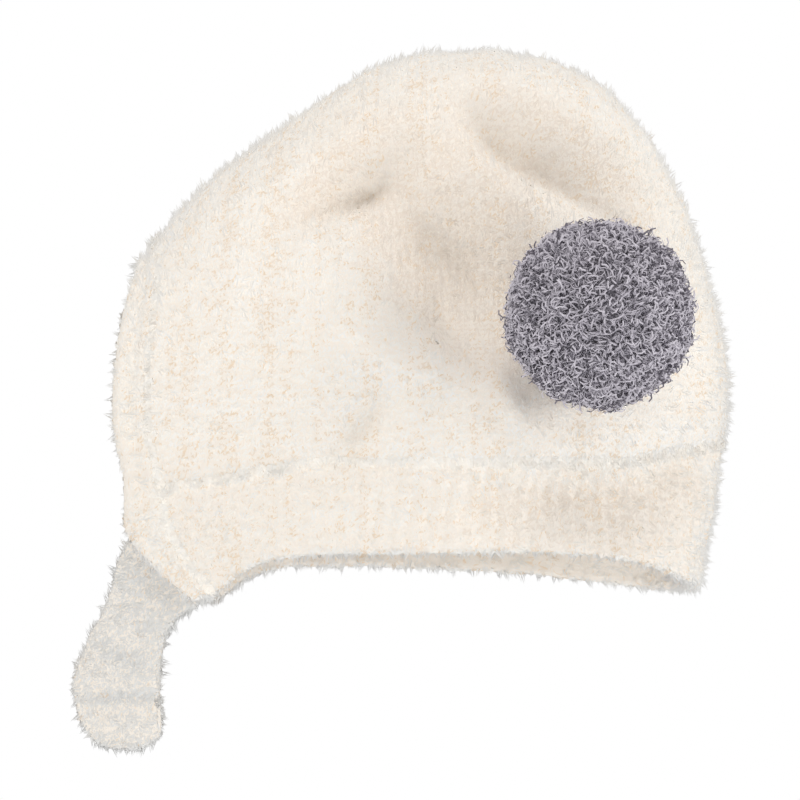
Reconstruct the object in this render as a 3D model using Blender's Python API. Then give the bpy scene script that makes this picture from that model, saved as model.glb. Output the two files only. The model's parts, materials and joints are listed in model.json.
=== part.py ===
"""Pom-pom baby hat: a knitted hood, open at the face and neck, with ribbed bands, chin strap and pompom.

+X is the back of the head and -X the face. The pompom and the strap are on the -Y side, the wearer's left.
+Z is up, and the origin is the inside of the hood's top, where the hat rests on a head. Lengths are in
metres, and the tables are in millimetres, as their names say.
"""

import math

import bmesh
import bpy
import numpy as np
from mathutils import Vector
from mathutils.bvhtree import BVHTree

MM = 0.001
GAP = 0.4 * MM  # between neighbouring pieces
FAR_AWAY = 0.3  # reach of a cutter past the hat
MIDDLE_HEIGHT = -90 * MM  # of the hat, for telling its outside from its inside
MERGE_WITHIN = 0.01 * MM  # of the corners that meet at the dome's top
FINE_STEPS = 2000  # for measuring along a line

# The hood's plan at each height: how far below the top, the front, the back and the half width.
# Below the forehead the front is where the dome would go on, in front of the face opening.
HOOD_SECTIONS_MM = np.array(
    [
        # drop, front, back, half width
        (0, 0, 0, 0),
        (3, -26, 22, 16),
        (9, -38, 34.5, 28),
        (20, -55, 46.5, 41.5),
        (32, -70.5, 54.5, 51),
        (44, -83.5, 60.5, 58),
        (62, -97.4, 66.5, 65),
        (84, -113, 72, 70),
        (102, -120.5, 73.7, 71.5),
        (125, -126, 70.5, 70),
        (148, -128.5, 66.7, 67),
        (166, -128.5, 63, 65),
    ]
)
CROWN_WALL = 4 * MM
HOOD_TOP = CROWN_WALL  # the outside's highest point, over the origin
PLAN_POWER = 2.3  # of the plan's superellipse; 2 is an ellipse
CROWN_COLUMNS = 66
CROWN_ROWS = 20
CROWN_DROP = 138 * MM  # the dome is made this deep, then cut along the seam

# The seam between the crown and the neck band, and the neck's edge, seen from the side. The soft edge of the
# +Y side rides up a little at the front and hangs lower at the back.
BAND_SEAM_MM = np.array(
    [
        # x, height
        (-130, -124),
        (-95, -124),
        (-75, -122),
        (-55, -118),
        (-30, -117),
        (20, -117.7),
        (40, -117.5),
        (60, -114.5),
        (74, -110),
        (90, -108),
    ]
)
NECK_EDGE_MM = np.array(
    [
        # x, height on the -Y side, height on the +Y side
        (-90, -160, -158.5),
        (-76, -155.5, -154),
        (-67, -148.8, -147.4),
        (-57, -145, -144.2),
        (-45, -143.8, -143.6),
        (-20, -143.5, -143.9),
        (15, -143.5, -146),
        (38, -144.5, -148.6),
        (52, -147.2, -150.6),
        (64, -151.5, -152.5),
        (90, -154, -154),
    ]
)
SEAM_STEPS = 28  # of each seam's and edge's line
SEAM_RUN_UP = 100 * MM  # how far the face seam is carried on above the forehead
SEAM_RUN_DOWN = 8  # how many of its last steps it is carried on below the flap
# The face band from the forehead to the flap's tip: its free edge, and the seam behind it. The first row lies
# on the hood's middle line.
FACE_BAND_MM = np.array(
    [
        # edge x, edge height, seam x, seam height
        (-98.7, -59.5, -91.9, -50),
        (-101.6, -68.7, -91.8, -64.5),
        (-104, -80.3, -93.2, -79.5),
        (-105.6, -97.7, -94.6, -97.5),
        (-105, -109.3, -94, -109.5),
        (-102.4, -121, -91.6, -121.5),
        (-101.4, -137, -88.6, -134.5),
        (-93, -147.5, -83.6, -145),
        (-82, -156.8, -75.6, -154.6),
    ]
)
FOREHEAD_OUTWARD = np.array([-0.77, 0.64])  # the way out of the hood at the forehead, in x and height
BAND_WALL = 5.5 * MM
RIB_PITCH = 5.3 * MM
RIB_HEIGHT = 0.7 * MM
NECK_BAND_ROWS = 4
NECK_BAND_TOP = -104 * MM  # the ring is made this high and this low, then cut to its outline
NECK_BAND_BOTTOM = -162 * MM
NECK_BAND_FRONT = -92 * MM  # x of the face seam at the ring's middle height
RIB_LEAN = 22 * MM  # how far the foremost rib swings back down the ear flap
RIB_LEAN_REACH = 80 * MM  # how far back from the face seam the ribs still lean
RIB_LEAN_FADE = 1.4
RIB_LEAN_POWER = 2.2
RIBS_PAST_FRONT = 3  # made in front of the face seam, then cut off
FACE_BAND_STEPS = 52
FACE_RIB_SHARE = 0.56  # one rib's share of the band's width, so that the seam cuts the second rib
FACE_HALF_RIBS = 5  # crests and valleys made, the last of them past the seam

# The rolled ridge over the top and down the back of each side, seen from the side.
RIDGE_MM = np.array(
    [
        # x, height
        (-54, -50),
        (-39, -37),
        (-23.5, -25),
        (-10, -14),
        (1.5, -9.5),
        (13, -13.5),
        (21, -22),
        (37, -37),
        (46, -48),
        (55, -66),
        (63, -88),
        (67, -112),
    ]
)
RIDGE_ROLL = 1.6 * MM
RIDGE_HALF_WIDTH = 5 * MM
RIDGE_DIP = 3.2 * MM
RIDGE_DIP_REACH = 15 * MM
RIDGE_STEP = 4 * MM  # the width over which the roll falls to the dip
RIDGE_END_SHARE = 1 / 8  # of its route, over which the ridge fades out at each end
# A soft fold below the hollow, on the pompom's side.
FOLD_MM = np.array([(-47, -75), (-22, -81), (8, -95), (16, -111)])
FOLD_HEIGHT = 1.8 * MM
FOLD_HALF_WIDTH = 8 * MM
FOLD_END_SHARE = 1 / 4  # of its route, over which the fold fades out at each end
# Hollows and swellings on the pompom's side.
DENTS_MM = np.array(
    [
        # x, height, half length, half width, tilt in degrees, depth
        (-6, -58, 36, 27, 20, 3.6),
        (-38, -35, 19, 6.5, 40, 3.8),
        (-6, -86, 13, 13, 0, 1.8),
        (-38, -107, 15, 8, 65, 1.8),
        (-70, -84, 18, 30, 0, -1.2),
        (30, -100, 16, 9, 20, -1.4),
    ]
)
MIDDLE_LINE_FADE = 12 * MM  # the relief fades out this near the hood's middle line

POMPOM_RADIUS = 27.5 * MM  # over the locks
POMPOM_X = 36.3 * MM
POMPOM_HEIGHT = -75 * MM
POMPOM_SINK = 4 * MM  # how much its flat back is pressed in
POMPOM_LEVEL = 3  # of the icosphere, each of whose 320 faces is poked out to a lock
LOCK_HEIGHT = 2 * MM

# The strap from its seam under the flap to its free end: its middle and half width at each height.
STRAP_SECTIONS_MM = np.array(
    [
        # height, middle x, half width
        (-139, -90, 11),
        (-147, -91.5, 13),
        (-155.7, -92.3, 14.2),
        (-161.5, -97.8, 11.6),
        (-168, -101.8, 11.3),
        (-179, -104.3, 12.8),
        (-190.5, -103, 12.2),
        (-196.3, -101.3, 9.8),
        (-199.5, -101.7, 4.5),
    ]
)
STRAP_WALL = 5 * MM
STRAP_COLUMNS = 6
STRAP_ROWS = 13
STRAP_SEAT_HEIGHT = -152 * MM  # below this the strap hangs straight down
STRAP_UNTWIST = 0.5  # the share of the flap's turn that the free end has lost
STRAP_EDGE_ROUND = 1.4 * MM
STRAP_EDGE_ANGLE = 60  # degrees; a sharper edge than this is rounded
PATCH_HALF_LENGTH = 8 * MM
PATCH_HALF_WIDTH = 6 * MM
PATCH_WALL = 1.2 * MM
PATCH_HEIGHT = -184 * MM
PATCH_X = -103 * MM
PATCH_STEPS = 4

CREAM = (0.86, 0.82, 0.76)
SHADED_CREAM = (0.80, 0.78, 0.74)
GREY_LILAC = (0.27, 0.25, 0.30)
PATCH_WHITE = (0.75, 0.74, 0.72)


def clear_scene():
    for old in list(bpy.data.objects):
        bpy.data.objects.remove(old, do_unlink=True)


def fabric(name, colour):
    material = bpy.data.materials.new(name)
    material.use_nodes = True
    shader = material.node_tree.nodes["Principled BSDF"]
    shader.inputs["Base Color"].default_value = (*colour, 1)
    shader.inputs["Roughness"].default_value = 0.95
    shader.inputs["Metallic"].default_value = 0
    return material


def smooth_at(at, knots, values):
    """A smooth curve through the values at the knots, read at one place or many."""
    at = np.asarray(at, float)
    slopes = np.gradient(values, knots)
    low = np.clip(np.searchsorted(knots, at) - 1, 0, len(knots) - 2)
    span = knots[low + 1] - knots[low]
    t = np.clip((at - knots[low]) / span, 0, 1)
    return (
        (1 + 2 * t) * (1 - t) ** 2 * values[low]
        + t * (1 - t) ** 2 * span * slopes[low]
        + t**2 * (3 - 2 * t) * values[low + 1]
        + t**2 * (t - 1) * span * slopes[low + 1]
    )


def smooth_route(table, steps):
    """The table's columns along a smooth curve through its rows, at even steps."""
    knots = np.arange(len(table), dtype=float)
    at = np.linspace(0, knots[-1], steps)
    return np.stack([smooth_at(at, knots, column) for column in table.T], axis=1)


def plan_at(height):
    """The middle x, half length and half width of the hood's plan at a height."""
    knots = np.sqrt(HOOD_SECTIONS_MM[:, 0])
    at = np.sqrt(np.clip(HOOD_TOP - np.asarray(height), 0, None) / MM)
    front, back, half_width = (smooth_at(at, knots, HOOD_SECTIONS_MM[:, k]) * MM for k in (1, 2, 3))
    return (front + back) / 2, (back - front) / 2, half_width


def hood_point(turn, height):
    """A point of the hood's outside. The turn is 0 at the front, pi at the back, and more on the +Y side."""
    middle, half_length, half_width = plan_at(height)
    along = np.sign(np.cos(turn)) * np.abs(np.cos(turn)) ** (2 / PLAN_POWER)
    across = np.sign(np.sin(turn)) * np.abs(np.sin(turn)) ** (2 / PLAN_POWER)
    x, y, z = np.broadcast_arrays(middle - half_length * along, -half_width * across, height)
    return np.stack([x, y, z], axis=-1)


def turn_at(x, height):
    """The turn on the -Y side where the hood's outside has this x at this height."""
    middle, half_length, _ = plan_at(height)
    along = np.clip((middle - x) / np.maximum(half_length, 1e-9), -1, 1)
    return np.arccos(np.sign(along) * np.abs(along) ** (PLAN_POWER / 2))


def lengths_along(points):
    """How far along the line of points each of them lies."""
    return np.concatenate([[0], np.cumsum(np.linalg.norm(np.diff(points, axis=0), axis=1))])


def even_turns(height, count):
    """Turns once round the hood, from the front, an equal way apart along its outside."""
    fine = np.linspace(0, 2 * math.pi, FINE_STEPS + 1)
    walked = lengths_along(hood_point(fine, height))
    return np.interp(np.linspace(0, walked[-1], count + 1), walked, fine)


def route_distance(x, height, route):
    """How far each side-view point lies from a route, positive below it, and how far along the route."""
    best = np.full(np.shape(x), np.inf)
    side = np.zeros(np.shape(x))
    along = np.zeros(np.shape(x))
    for k, (start, end) in enumerate(zip(route[:-1], route[1:])):
        run = end - start
        dx, dz = x - start[0], height - start[1]
        t = np.clip((dx * run[0] + dz * run[1]) / (run @ run), 0, 1)
        away = np.hypot(dx - t * run[0], dz - t * run[1])
        nearer = away < best
        best = np.where(nearer, away, best)
        side = np.where(nearer, np.sign(run[1] * dx - run[0] * dz), side)
        along = np.where(nearer, (k + t) / (len(route) - 1), along)
    return best * side, along


def smooth_step(value):
    t = np.clip(value, 0, 1)
    return t * t * (3 - 2 * t)


def end_fade(along, end_share):
    """1 along a route, and falling to 0 over the share of it at each end."""
    return smooth_step(along / end_share) * smooth_step((1 - along) / end_share)


def ridge_relief(x, height):
    """The rolled ridge with the dip on its lower side, which fades out at the ridge's two ends."""
    distance, along = route_distance(x, height, RIDGE_MM * MM)
    roll = RIDGE_ROLL * np.exp(-(((distance + RIDGE_HALF_WIDTH) / RIDGE_HALF_WIDTH) ** 2))
    below = smooth_step(distance / RIDGE_STEP + 0.5)
    dip = RIDGE_DIP * np.exp(-((distance / RIDGE_DIP_REACH) ** 2)) * below
    return (roll - dip) * end_fade(along, RIDGE_END_SHARE)


def dent_relief(x, height):
    """The soft fold, the hollows and the swellings of the pompom's side."""
    distance, along = route_distance(x, height, FOLD_MM * MM)
    fold = FOLD_HEIGHT * np.exp(-((distance / FOLD_HALF_WIDTH) ** 2))
    total = fold * end_fade(along, FOLD_END_SHARE)
    for dent_x, dent_height, half_length, half_width, tilt, depth in DENTS_MM:
        cos, sin = math.cos(math.radians(tilt)), math.sin(math.radians(tilt))
        dx, dz = x - dent_x * MM, height - dent_height * MM
        along_it = (dx * cos + dz * sin) / (half_length * MM)
        across_it = (dz * cos - dx * sin) / (half_width * MM)
        total = total - depth * MM * np.exp(-(along_it**2) - across_it**2)
    return total


def grid_bmesh(points, merged=False):
    """A bmesh grid whose rows and columns lie at the points given, an array of rows by columns by xyz."""
    rows, columns = points.shape[0] - 1, points.shape[1] - 1
    shape = bmesh.new()
    bmesh.ops.create_grid(shape, x_segments=columns, y_segments=rows, size=1)
    for vertex in shape.verts:
        row = round((vertex.co.y + 1) / 2 * rows)
        column = round((vertex.co.x + 1) / 2 * columns)
        vertex.co = points[row, column]
    if merged:
        bmesh.ops.remove_doubles(shape, verts=shape.verts, dist=MERGE_WITHIN)
    return shape


def add_object(name, shape, material=None):
    mesh = bpy.data.meshes.new(name)
    shape.to_mesh(mesh)
    shape.free()
    mesh.shade_smooth()
    made = bpy.data.objects.new(name, mesh)
    bpy.context.scene.collection.objects.link(made)
    if material:
        mesh.materials.append(material)
    return made


def face_outward(shape):
    """Turns an open sheet so that its first side faces away from the hat's middle."""
    shape.normal_update()
    middle = Vector((0, 0, MIDDLE_HEIGHT))
    facing = sum(
        face.normal.dot(face.calc_center_median() - middle) * face.calc_area() for face in shape.faces
    )
    if facing < 0:
        bmesh.ops.reverse_faces(shape, faces=shape.faces)
    shape.normal_update()


def thicken(made, wall):
    """Gives an open sheet a wall on its inner side."""
    solid = made.modifiers.new("wall", "SOLIDIFY")
    solid.thickness = wall
    solid.offset = -1
    solid.use_even_offset = False
    solid.use_rim = True


def side_cutter(name, outline, start_y=-FAR_AWAY, end_y=FAR_AWAY):
    """A prism across the whole hat or one side of it, from its side-view outline as (x, height) rows."""
    shape = bmesh.new()
    corners = [shape.verts.new((x, start_y, z)) for x, z in outline]
    face = shape.faces.new(corners)
    made = bmesh.ops.extrude_face_region(shape, geom=[face])
    moved = [item for item in made["geom"] if isinstance(item, bmesh.types.BMVert)]
    bmesh.ops.translate(shape, verts=moved, vec=(0, end_y - start_y, 0))
    bmesh.ops.recalc_face_normals(shape, faces=shape.faces)
    cutter = add_object(name, shape)
    cutter.hide_render = True
    cutter.display_type = "WIRE"
    return cutter


def cut(made, cutter, solver="EXACT"):
    """Cuts a piece. The ribbed bands need the MANIFOLD solver: the exact one leaves nothing of them."""
    boolean = made.modifiers.new(cutter.name, "BOOLEAN")
    boolean.operation = "DIFFERENCE"
    boolean.solver = solver
    boolean.object = cutter


def face_seam():
    """The seam behind the face band, from above the forehead to below the flap, as (x, height) rows."""
    seam = smooth_route(FACE_BAND_MM[:, 2:], SEAM_STEPS) * MM
    above = seam[0] + FOREHEAD_OUTWARD * SEAM_RUN_UP
    below = seam[-1] + (seam[-1] - seam[-2]) * SEAM_RUN_DOWN
    return np.vstack([above, seam, below])


def front_outline(shift):
    """Everything in front of the face seam, which is moved back by shift."""
    seam = face_seam() + np.array([shift, 0])
    return [*seam, (-FAR_AWAY, seam[-1][1]), (-FAR_AWAY, seam[0][1])]


def back_outline(shift):
    """Everything behind the face seam, which is moved back by shift."""
    seam = face_seam() + np.array([shift, 0])
    return [*seam, (FAR_AWAY, seam[-1][1]), (FAR_AWAY, FAR_AWAY), (seam[0][0], FAR_AWAY)]


def line_outline(table, shift, end_height):
    """Everything from a side-view line, moved up by shift, to a height far above or below it."""
    line = smooth_route(table, SEAM_STEPS) * MM + np.array([0, shift])
    front_end, back_end = (-FAR_AWAY, line[0][1]), (FAR_AWAY, line[-1][1])
    return [front_end, *line, back_end, (FAR_AWAY, end_height), (-FAR_AWAY, end_height)]


def neck_edge_cutters():
    """Everything below the neck's edge, on each side of the hat."""
    near, far = NECK_EDGE_MM[:, [0, 1]], NECK_EDGE_MM[:, [0, 2]]
    return [
        side_cutter("cut_below_near", line_outline(near, 0, -FAR_AWAY), -FAR_AWAY, 0),
        side_cutter("cut_below_far", line_outline(far, 0, -FAR_AWAY), 0, FAR_AWAY),
    ]


def make_crown(material):
    """The knitted hood: a closed dome with its ridge and dents, given its wall and cut at its two seams."""
    rows = []
    for row in range(CROWN_ROWS + 1):
        height = HOOD_TOP - CROWN_DROP * (1 - math.cos(math.pi / 2 * row / CROWN_ROWS))
        rows.append(hood_point(even_turns(height, CROWN_COLUMNS), height))
    shape = grid_bmesh(np.array(rows), merged=True)
    face_outward(shape)
    for vertex in shape.verts:
        x, y, z = vertex.co
        relief = ridge_relief(x, z)
        if y < 0:
            relief = relief + dent_relief(x, z)
        vertex.co += vertex.normal * float(relief * smooth_step(abs(y) / MIDDLE_LINE_FADE))
    crown = add_object("crown", shape, material)
    thicken(crown, CROWN_WALL)
    cut(crown, side_cutter("cut_crown_front", front_outline(GAP)))
    cut(crown, side_cutter("cut_crown_below", line_outline(BAND_SEAM_MM, 0, -FAR_AWAY)))
    return crown


def raise_ribs(shape, on_crest, times):
    """Moves a grid's corners out to the ribs' crests or in to their valleys, as the list says, repeated."""
    for vertex, crest in zip(list(shape.verts), np.tile(on_crest, times)):
        vertex.co += vertex.normal * (RIB_HEIGHT if crest else -RIB_HEIGHT)


def rib_turns(height_share):
    """The turns of the neck band's crests and valleys, which lean back down the ear flaps."""
    middle_height = (NECK_BAND_TOP + NECK_BAND_BOTTOM) / 2
    fine = np.linspace(0, math.pi, FINE_STEPS + 1)
    walked = lengths_along(hood_point(fine, middle_height))
    front = np.interp(turn_at(NECK_BAND_FRONT, middle_height), fine, walked)
    half_count = 2 * round(walked[-1] / RIB_PITCH)
    even = np.linspace(0, walked[-1], half_count + 1)
    near_front = np.clip(1 - (even - front) / RIB_LEAN_REACH, 0, None) ** RIB_LEAN_FADE
    leaning = even + RIB_LEAN * near_front * height_share**RIB_LEAN_POWER
    half = np.interp(leaning[even > front - RIBS_PAST_FRONT * RIB_PITCH], walked, fine)
    return np.concatenate([half, 2 * math.pi - half[-2::-1]])


def make_neck_band(material, edge_cutters):
    """The ribbed band: a ring of crests and valleys, cut at its seams and along the neck's edge."""
    rows = []
    for row in range(NECK_BAND_ROWS + 1):
        share = row / NECK_BAND_ROWS
        height = NECK_BAND_TOP + (NECK_BAND_BOTTOM - NECK_BAND_TOP) * share
        rows.append(hood_point(rib_turns(share), height))
    shape = grid_bmesh(np.array(rows))
    face_outward(shape)
    from_back = np.abs(np.arange(len(rows[0])) - len(rows[0]) // 2)
    raise_ribs(shape, from_back % 2 == 0, NECK_BAND_ROWS + 1)
    band = add_object("neck_band", shape, material)
    thicken(band, BAND_WALL)
    cut(band, side_cutter("cut_band_front", front_outline(GAP)), "MANIFOLD")
    cut(band, side_cutter("cut_band_above", line_outline(BAND_SEAM_MM, -GAP, FAR_AWAY)), "MANIFOLD")
    for cutter in edge_cutters:
        cut(band, cutter, "MANIFOLD")
    return band


def make_face_band(material, far_edge_cutter):
    """The ribbed edging: a strip from one flap's tip over the forehead to the other's."""
    fine = smooth_route(FACE_BAND_MM, FINE_STEPS) * MM
    edge_x, edge_z, seam_x, seam_z = fine.T
    edge_turn, seam_turn = turn_at(edge_x, edge_z), turn_at(seam_x, seam_z)
    edge_turn[0] = seam_turn[0] = 0
    walked = lengths_along(hood_point((edge_turn + seam_turn) / 2, (edge_z + seam_z) / 2))
    at = np.linspace(0, walked[-1], FACE_BAND_STEPS // 2 + 1)
    rows = []
    for share in np.arange(FACE_HALF_RIBS + 1) * FACE_RIB_SHARE / 2:
        turn = np.interp(at, walked, edge_turn + (seam_turn - edge_turn) * share)
        height = np.interp(at, walked, edge_z + (seam_z - edge_z) * share)
        near = hood_point(turn, height)
        far = near[:0:-1] * np.array([1, -1, 1])
        rows.append(np.vstack([far, near]))
    shape = grid_bmesh(np.array(rows))
    face_outward(shape)
    raise_ribs(shape, np.repeat(np.arange(len(rows)) % 2 == 1, len(rows[0])), 1)
    band = add_object("face_band", shape, material)
    thicken(band, BAND_WALL)
    cut(band, side_cutter("cut_face_band_back", back_outline(0)), "MANIFOLD")
    cut(band, far_edge_cutter, "MANIFOLD")
    return band


def side_y(x, height):
    """y of the hood's outside on the -Y side."""
    return hood_point(turn_at(x, height), height)[1]


def strap_point(x, height, depth):
    """A point inside the near flap by a depth, or straight below it, turned to the side as it hangs."""
    held = max(height, STRAP_SEAT_HEIGHT)
    from_end = STRAP_SECTIONS_MM[::-1] * MM
    middle = float(smooth_at(height, from_end[:, 0], from_end[:, 1]))
    hung = (held - height) / (STRAP_SEAT_HEIGHT - from_end[0, 0])
    turned = STRAP_UNTWIST * smooth_step(hung)
    inside = []
    for at in (x, middle):
        slope = (side_y(at + MM, held) - side_y(at - MM, held)) / (2 * MM)
        inside.append(side_y(at, held) + depth * math.hypot(1, slope))
    return Vector((x, inside[0] * (1 - turned) + inside[1] * turned, height))


def make_strap(material):
    """The chin strap: sewn inside the near flap, then hanging free to its round end."""
    rows = []
    depth = BAND_WALL + RIB_HEIGHT + GAP
    for height, middle, half_width in smooth_route(STRAP_SECTIONS_MM, STRAP_ROWS + 1) * MM:
        across = middle + half_width * np.sin(np.linspace(-1, 1, STRAP_COLUMNS + 1) * math.pi / 2)
        rows.append([strap_point(x, height, depth) for x in across])
    shape = grid_bmesh(np.array(rows))
    face_outward(shape)
    strap = add_object("chin_strap", shape, material)
    thicken(strap, STRAP_WALL)
    rounded = strap.modifiers.new("round edge", "BEVEL")
    rounded.width = STRAP_EDGE_ROUND
    rounded.segments = 1
    rounded.angle_limit = math.radians(STRAP_EDGE_ANGLE)
    return strap


def make_patch(material):
    """The plain closure patch on the strap's inner face."""
    depth = BAND_WALL + RIB_HEIGHT + 2 * GAP + STRAP_WALL
    corners = np.linspace(-1, 1, PATCH_STEPS + 1)
    across = corners * PATCH_HALF_WIDTH + PATCH_X
    down = corners * PATCH_HALF_LENGTH + PATCH_HEIGHT
    rows = [[strap_point(x, height, depth) for x in across] for height in down]
    shape = grid_bmesh(np.array(rows))
    face_outward(shape)
    patch = add_object("strap_patch", shape, material)
    thicken(patch, PATCH_WALL)
    return patch


def make_pompom(material, crown):
    """The ball of yarn: locks that stand out all round, and a back pressed flat against the crown."""
    seat = hood_point(turn_at(POMPOM_X, POMPOM_HEIGHT), POMPOM_HEIGHT)
    centre = Vector((POMPOM_X, float(seat[1]) - POMPOM_RADIUS + POMPOM_SINK, POMPOM_HEIGHT))
    shape = bmesh.new()
    bmesh.ops.create_icosphere(shape, subdivisions=POMPOM_LEVEL, radius=POMPOM_RADIUS - LOCK_HEIGHT)
    bmesh.ops.poke(shape, faces=shape.faces, offset=LOCK_HEIGHT)
    bmesh.ops.translate(shape, verts=shape.verts, vec=centre)
    crown_tree = BVHTree.FromObject(crown, bpy.context.evaluated_depsgraph_get())
    for vertex in shape.verts:
        from_side = Vector((vertex.co.x, -FAR_AWAY, vertex.co.z))
        hit, normal, _, _ = crown_tree.ray_cast(from_side, Vector((0, 1, 0)))
        if hit:
            vertex.co.y = min(vertex.co.y, hit.y - GAP / abs(normal.y))
    return add_object("pompom", shape, material)


clear_scene()
crown = make_crown(fabric("crown_knit", CREAM))
edge_cutters = neck_edge_cutters()
make_neck_band(fabric("rib_knit", CREAM), edge_cutters)
make_face_band(fabric("edging_knit", CREAM), edge_cutters[1])
make_strap(fabric("strap_knit", SHADED_CREAM))
make_patch(fabric("closure", PATCH_WHITE))
make_pompom(fabric("pompom_yarn", GREY_LILAC), crown)
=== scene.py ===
# %% [markdown]
# # A pom-pom baby hat in chenille knit
#
# The hat is a knitted hood with a ribbed neck band, a ribbed face edging, a wide chin strap and one grey
# pompom. Its solids are already made, and they say where everything is. They can't show what makes
# chenille look soft, which is pile. So each solid is replaced by a finer skin of its own shape, and that
# skin grows pile.

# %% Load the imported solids
import json
import math

import bmesh
import bpy
import numpy as np
from mathutils import Matrix, Vector
from mathutils.kdtree import KDTree

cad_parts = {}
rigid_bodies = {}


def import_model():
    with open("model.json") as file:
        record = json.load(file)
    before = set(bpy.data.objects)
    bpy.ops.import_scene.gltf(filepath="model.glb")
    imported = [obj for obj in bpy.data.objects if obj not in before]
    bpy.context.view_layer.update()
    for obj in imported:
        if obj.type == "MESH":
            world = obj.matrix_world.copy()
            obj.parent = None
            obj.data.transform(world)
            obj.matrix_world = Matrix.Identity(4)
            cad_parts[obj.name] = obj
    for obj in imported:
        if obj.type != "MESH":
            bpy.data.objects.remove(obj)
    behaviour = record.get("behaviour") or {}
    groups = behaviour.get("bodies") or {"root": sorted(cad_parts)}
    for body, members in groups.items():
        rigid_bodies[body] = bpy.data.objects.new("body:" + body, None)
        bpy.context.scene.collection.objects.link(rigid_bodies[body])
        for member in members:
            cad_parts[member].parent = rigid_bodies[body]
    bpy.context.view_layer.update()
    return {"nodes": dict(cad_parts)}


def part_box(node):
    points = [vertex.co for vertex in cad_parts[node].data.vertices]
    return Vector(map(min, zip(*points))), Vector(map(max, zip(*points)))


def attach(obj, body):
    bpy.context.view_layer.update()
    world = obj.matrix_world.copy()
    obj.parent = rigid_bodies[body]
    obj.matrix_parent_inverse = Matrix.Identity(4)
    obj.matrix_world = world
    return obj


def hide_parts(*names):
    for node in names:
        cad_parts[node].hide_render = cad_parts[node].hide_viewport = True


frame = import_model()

MM = 0.001

# %% [markdown]
# ## The camera
#
# The hat is seen from its wearer's left side, from a little below, through a very long lens. A long lens
# keeps the ball, which is nearer, the same size as the things behind it.

# %% Place the camera
VIEW_CENTRE = Vector((-21.75, 0, -97.7)) * MM
VIEW_WIDTH = 232 * MM
VIEW_DISTANCE = 5.0
VIEW_ELEVATION = math.radians(-1.25)

camera = bpy.data.objects.new("camera", bpy.data.cameras.new("camera"))
bpy.context.scene.collection.objects.link(camera)
bpy.context.scene.camera = camera
towards_camera = Vector((0, -math.cos(VIEW_ELEVATION), math.sin(VIEW_ELEVATION)))
camera.location = VIEW_CENTRE + towards_camera * VIEW_DISTANCE
camera.rotation_euler = (-towards_camera).to_track_quat("-Z", "Y").to_euler()
camera.data.sensor_width = 36
camera.data.lens = camera.data.sensor_width * VIEW_DISTANCE / VIEW_WIDTH
camera.data.clip_end = 100
print("lens in mm:", round(camera.data.lens))

# %% [markdown]
# ## Points as tables
#
# The skins below have tens of thousands of points, and a loop over them would take seconds at every step.
# So a mesh's points are read into a table, worked on all at once, and put back.

# %% Read and move the points of a mesh
def points_of(mesh):
    found = np.empty(len(mesh.vertices) * 3, np.float32)
    mesh.vertices.foreach_get("co", found)
    return found.reshape(-1, 3).astype(float)


def normals_of(mesh):
    found = np.empty(len(mesh.vertices) * 3, np.float32)
    mesh.vertex_normals.foreach_get("vector", found)
    return found.reshape(-1, 3).astype(float)


def unit(vectors):
    return vectors / np.maximum(np.linalg.norm(vectors, axis=-1, keepdims=True), 1e-12)


def move_points(mesh, points):
    mesh.vertices.foreach_set("co", points.astype(np.float32).ravel())
    mesh.update()


def settle(piece):
    """Gives a piece the mesh that its modifiers make, and takes the modifiers off."""
    graph = bpy.context.evaluated_depsgraph_get()
    made = bpy.data.meshes.new_from_object(piece.evaluated_get(graph))
    piece.modifiers.clear()
    piece.data = made
    made.name = piece.name


def mesh_from(name, shape):
    mesh = bpy.data.meshes.new(name)
    shape.to_mesh(mesh)
    shape.free()
    return mesh


def add_piece(name, shape):
    piece = bpy.data.objects.new(name, mesh_from(name, shape))
    bpy.context.scene.collection.objects.link(piece)
    return piece


# %% [markdown]
# ## Fine skins
#
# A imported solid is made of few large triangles. Pile and stitches need a skin of small, even faces to sit
# on. A subdivision would keep the long thin triangles that the seams were cut with, so each copy is merged
# and then remeshed to even quads instead. A light smoothing takes the corners off, as soft cloth has none.

# %% A skin in the shape of a solid
SEAM_CORNER = 0.6 * MM  # how far a skin's rounded corner is pushed out again at a seam


def skin_of(node, name, face_size, softening, shrink, seam_side=None):
    """A skin of even quads in the shape of a solid, drawn in by shrink to leave room for its pile.

    seam_side says which way the seam faces, at given points. The skin isn't drawn in that way.
    """
    shape = bmesh.new()
    shape.from_mesh(frame["nodes"][node].data)
    bmesh.ops.remove_doubles(shape, verts=shape.verts, dist=0.01 * MM)
    skin = add_piece(name, shape)
    remesh = skin.modifiers.new("even quads", "REMESH")
    remesh.mode = "VOXEL"
    remesh.voxel_size = face_size
    soften = skin.modifiers.new("soften", "SMOOTH")
    soften.iterations = softening
    settle(skin)
    points, inwards = points_of(skin.data), -normals_of(skin.data)
    if seam_side:
        towards_seam = seam_side(points)
        facing = np.clip(-(inwards * towards_seam).sum(1, keepdims=True), 0, None)
        inwards += facing * towards_seam
        points += towards_seam * SEAM_CORNER * 4 * facing * (1 - facing)
    move_points(skin.data, points + inwards * shrink)
    skin.data.shade_smooth()
    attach(skin, "root")
    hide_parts(node)
    return skin


UP, BACK = np.array((0.0, 0.0, 1.0)), np.array((1.0, 0.0, 0.0))
DOWN, FRONT = -UP, -BACK
FACE_SEAM_X = -92 * MM
CROWN_HEM = -112 * MM


def crown_seam_side(points):
    hem, face = points[:, 2] < CROWN_HEM, points[:, 0] < FACE_SEAM_X
    return hem[:, None] * DOWN + (face & ~hem)[:, None] * FRONT


def all_up(points):
    return UP


def all_back(points):
    return BACK


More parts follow.
